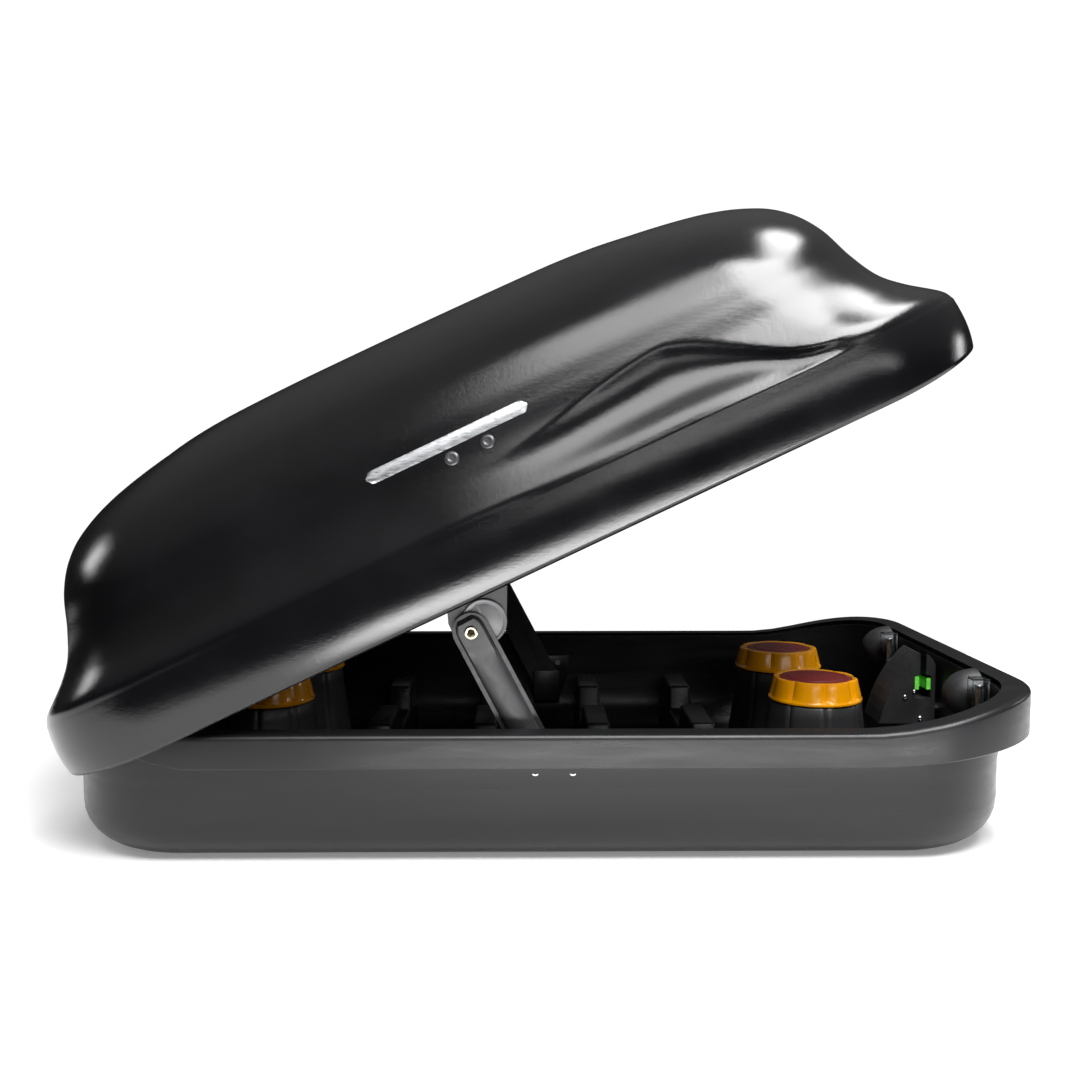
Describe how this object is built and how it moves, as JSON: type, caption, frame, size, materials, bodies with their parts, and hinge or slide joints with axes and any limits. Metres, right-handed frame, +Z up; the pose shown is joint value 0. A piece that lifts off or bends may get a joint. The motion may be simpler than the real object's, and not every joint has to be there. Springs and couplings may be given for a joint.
{
  "type": "roof cargo box",
  "caption": "Hard roof cargo box with a deep gloss lid hinged at the front, rear opening on side stays, and knob-tightened roof bar clamps.",
  "frame": {"origin": "centre of the tub's underside, midway between the four clamps", "axes": "+X towards the opening rear end, +Y to the side away from the pictured one, +Z up"},
  "size_m": [1.1382, 0.748, 0.7496],
  "materials": {
    "lid_gloss_black": "high gloss with a fine orange-peel texture",
    "tub_satin_black": "satin vacuum-formed sheet with a fine grain",
    "black_plastic": "satin moulded plastic",
    "bracket_black": "black powder coat",
    "knob_orange": "satin moulded plastic",
    "knob_red": "satin moulded plastic",
    "hub_grey": "satin moulded plastic",
    "indicator_green": "satin moulded plastic",
    "clear_plastic": "clear moulded polycarbonate",
    "steel": "zinc plated",
    "brass": "plated",
    "rivet_black": "black",
    "badge_silver": "satin"
  },
  "bodies": {
    "base": {"base_shell": "tub_satin_black", "load_rib_1": "tub_satin_black", "load_rib_2": "tub_satin_black", "load_rib_3": "tub_satin_black", "load_rib_4": "tub_satin_black", "clamp_housing_front_near": "black_plastic", "clamp_housing_front_far": "black_plastic", "clamp_housing_rear_near": "black_plastic", "clamp_housing_rear_far": "black_plastic", "hinge_base_leaf_near": "bracket_black", "stay_base_bracket_near": "bracket_black", "latch_cup_near": "black_plastic", "latch_guard_near": "clear_plastic", "hinge_base_leaf_far": "bracket_black", "stay_base_bracket_far": "bracket_black", "latch_cup_far": "black_plastic", "latch_guard_far": "clear_plastic", "lock_housing": "black_plastic"},
    "lid": {"lid_shell": "lid_gloss_black", "lid_catch_blade": "steel", "badge_near": "badge_silver", "lid_rivets_near": "rivet_black", "hinge_lid_leaf_near": "bracket_black", "stay_lid_bracket_near": "black_plastic", "stay_hub_near": "hub_grey", "stay_eyelet_near": "brass", "lid_striker_near": "steel", "badge_far": "badge_silver", "lid_rivets_far": "rivet_black", "hinge_lid_leaf_far": "bracket_black", "stay_lid_bracket_far": "black_plastic", "stay_hub_far": "hub_grey", "stay_eyelet_far": "brass", "lid_striker_far": "steel"},
    "stay_arm_near": {"stay_arm_near": "black_plastic"},
    "stay_arm_far": {"stay_arm_far": "black_plastic"},
    "knob_front_near": {"clamp_knob_front_near": "knob_orange", "clamp_knob_cap_front_near": "knob_red", "clamp_bolt_front_near": "steel"},
    "claw_front_front_near": {"clamp_claw_front_front_near": "steel"},
    "claw_rear_front_near": {"clamp_claw_rear_front_near": "steel"},
    "knob_front_far": {"clamp_knob_front_far": "knob_orange", "clamp_knob_cap_front_far": "knob_red", "clamp_bolt_front_far": "steel"},
    "claw_front_front_far": {"clamp_claw_front_front_far": "steel"},
    "claw_rear_front_far": {"clamp_claw_rear_front_far": "steel"},
    "knob_rear_near": {"clamp_knob_rear_near": "knob_orange", "clamp_knob_cap_rear_near": "knob_red", "clamp_bolt_rear_near": "steel"},
    "claw_front_rear_near": {"clamp_claw_front_rear_near": "steel"},
    "claw_rear_rear_near": {"clamp_claw_rear_rear_near": "steel"},
    "knob_rear_far": {"clamp_knob_rear_far": "knob_orange", "clamp_knob_cap_rear_far": "knob_red", "clamp_bolt_rear_far": "steel"},
    "claw_front_rear_far": {"clamp_claw_front_rear_far": "steel"},
    "claw_rear_rear_far": {"clamp_claw_rear_rear_far": "steel"},
    "lock_cylinder": {"lock_cylinder": "steel"},
    "lock_indicator": {"lock_indicator": "indicator_green"},
    "latch_pin_near": {"latch_pin_near": "steel"},
    "latch_pin_far": {"latch_pin_far": "steel"}
  },
  "joints": [
    {"name": "lid_hinge", "type": "hinge", "parent": "base", "child": "lid", "pos_m": [-0.476, 0, 0.16], "axis": [0, -1, 0], "range_deg": [-25.3, 0], "stiffness_Nm_per_rad": 52, "springref_deg": 51.57},
    {"name": "stay_pivot_near", "type": "hinge", "parent": "lid", "child": "stay_arm_near", "pos_m": [-0.08004, -0.3094, 0.25691], "axis": [0, -1, 0], "range_deg": [0, 89]},
    {"name": "stay_pivot_far", "type": "hinge", "parent": "lid", "child": "stay_arm_far", "pos_m": [-0.08004, 0.3094, 0.25691], "axis": [0, -1, 0], "range_deg": [0, 89]},
    {"name": "knob_turn_front_near", "type": "hinge", "parent": "base", "child": "knob_front_near", "pos_m": [-0.349, -0.111, 0.15], "axis": [0, 0, -1], "range_deg": [0, 1440]},
    {"name": "claw_swing_front_front_near", "type": "hinge", "parent": "base", "child": "claw_front_front_near", "pos_m": [-0.362, -0.111, 0.0155], "axis": [0, -1, 0], "range_deg": [0, 24.5]},
    {"name": "claw_swing_rear_front_near", "type": "hinge", "parent": "base", "child": "claw_rear_front_near", "pos_m": [-0.336, -0.111, 0.0155], "axis": [0, 1, 0], "range_deg": [0, 24.5]},
    {"name": "knob_turn_front_far", "type": "hinge", "parent": "base", "child": "knob_front_far", "pos_m": [-0.349, 0.111, 0.15], "axis": [0, 0, -1], "range_deg": [0, 1440]},
    {"name": "claw_swing_front_front_far", "type": "hinge", "parent": "base", "child": "claw_front_front_far", "pos_m": [-0.362, 0.111, 0.0155], "axis": [0, -1, 0], "range_deg": [0, 24.5]},
    {"name": "claw_swing_rear_front_far", "type": "hinge", "parent": "base", "child": "claw_rear_front_far", "pos_m": [-0.336, 0.111, 0.0155], "axis": [0, 1, 0], "range_deg": [0, 24.5]},
    {"name": "knob_turn_rear_near", "type": "hinge", "parent": "base", "child": "knob_rear_near", "pos_m": [0.349, -0.111, 0.15], "axis": [0, 0, -1], "range_deg": [0, 1440]},
    {"name": "claw_swing_front_rear_near", "type": "hinge", "parent": "base", "child": "claw_front_rear_near", "pos_m": [0.336, -0.111, 0.0155], "axis": [0, -1, 0], "range_deg": [0, 24.5]},
    {"name": "claw_swing_rear_rear_near", "type": "hinge", "parent": "base", "child": "claw_rear_rear_near", "pos_m": [0.362, -0.111, 0.0155], "axis": [0, 1, 0], "range_deg": [0, 24.5]},
    {"name": "knob_turn_rear_far", "type": "hinge", "parent": "base", "child": "knob_rear_far", "pos_m": [0.349, 0.111, 0.15], "axis": [0, 0, -1], "range_deg": [0, 1440]},
    {"name": "claw_swing_front_rear_far", "type": "hinge", "parent": "base", "child": "claw_front_rear_far", "pos_m": [0.336, 0.111, 0.0155], "axis": [0, -1, 0], "range_deg": [0, 24.5]},
    {"name": "claw_swing_rear_rear_far", "type": "hinge", "parent": "base", "child": "claw_rear_rear_far", "pos_m": [0.362, 0.111, 0.0155], "axis": [0, 1, 0], "range_deg": [0, 24.5]},
    {"name": "lock_turn", "type": "hinge", "parent": "base", "child": "lock_cylinder", "pos_m": [0.52, 0, 0.1], "axis": [1, 0, 0], "range_deg": [0, 90]},
    {"name": "indicator_slide", "type": "slide", "parent": "base", "child": "lock_indicator", "axis": [0, 0, -1], "range_m": [0, 0.0101]},
    {"name": "latch_pin_slide_near", "type": "slide", "parent": "base", "child": "latch_pin_near", "axis": [0, 0, -1], "range_m": [0, 0.0121]},
    {"name": "latch_pin_slide_far", "type": "slide", "parent": "base", "child": "latch_pin_far", "axis": [0, 0, -1], "range_m": [0, 0.0121]}
  ],
  "couplings": [
    {"joint": "stay_pivot_near", "follows": "lid_hinge", "ratio": -3.506},
    {"joint": "stay_pivot_far", "follows": "lid_hinge", "ratio": -3.506},
    {"joint": "claw_swing_front_front_near", "follows": "knob_turn_front_near", "ratio": 0.016667},
    {"joint": "claw_swing_rear_front_near", "follows": "knob_turn_front_near", "ratio": 0.016667},
    {"joint": "claw_swing_front_front_far", "follows": "knob_turn_front_far", "ratio": 0.016667},
    {"joint": "claw_swing_rear_front_far", "follows": "knob_turn_front_far", "ratio": 0.016667},
    {"joint": "claw_swing_front_rear_near", "follows": "knob_turn_rear_near", "ratio": 0.016667},
    {"joint": "claw_swing_rear_rear_near", "follows": "knob_turn_rear_near", "ratio": 0.016667},
    {"joint": "claw_swing_front_rear_far", "follows": "knob_turn_rear_far", "ratio": 0.016667},
    {"joint": "claw_swing_rear_rear_far", "follows": "knob_turn_rear_far", "ratio": 0.016667},
    {"joint": "indicator_slide", "follows": "lock_turn", "m_per_rad": 0.0063662},
    {"joint": "latch_pin_slide_near", "follows": "lock_turn", "m_per_rad": 0.0076394},
    {"joint": "latch_pin_slide_far", "follows": "lock_turn", "m_per_rad": 0.0076394}
  ]
}
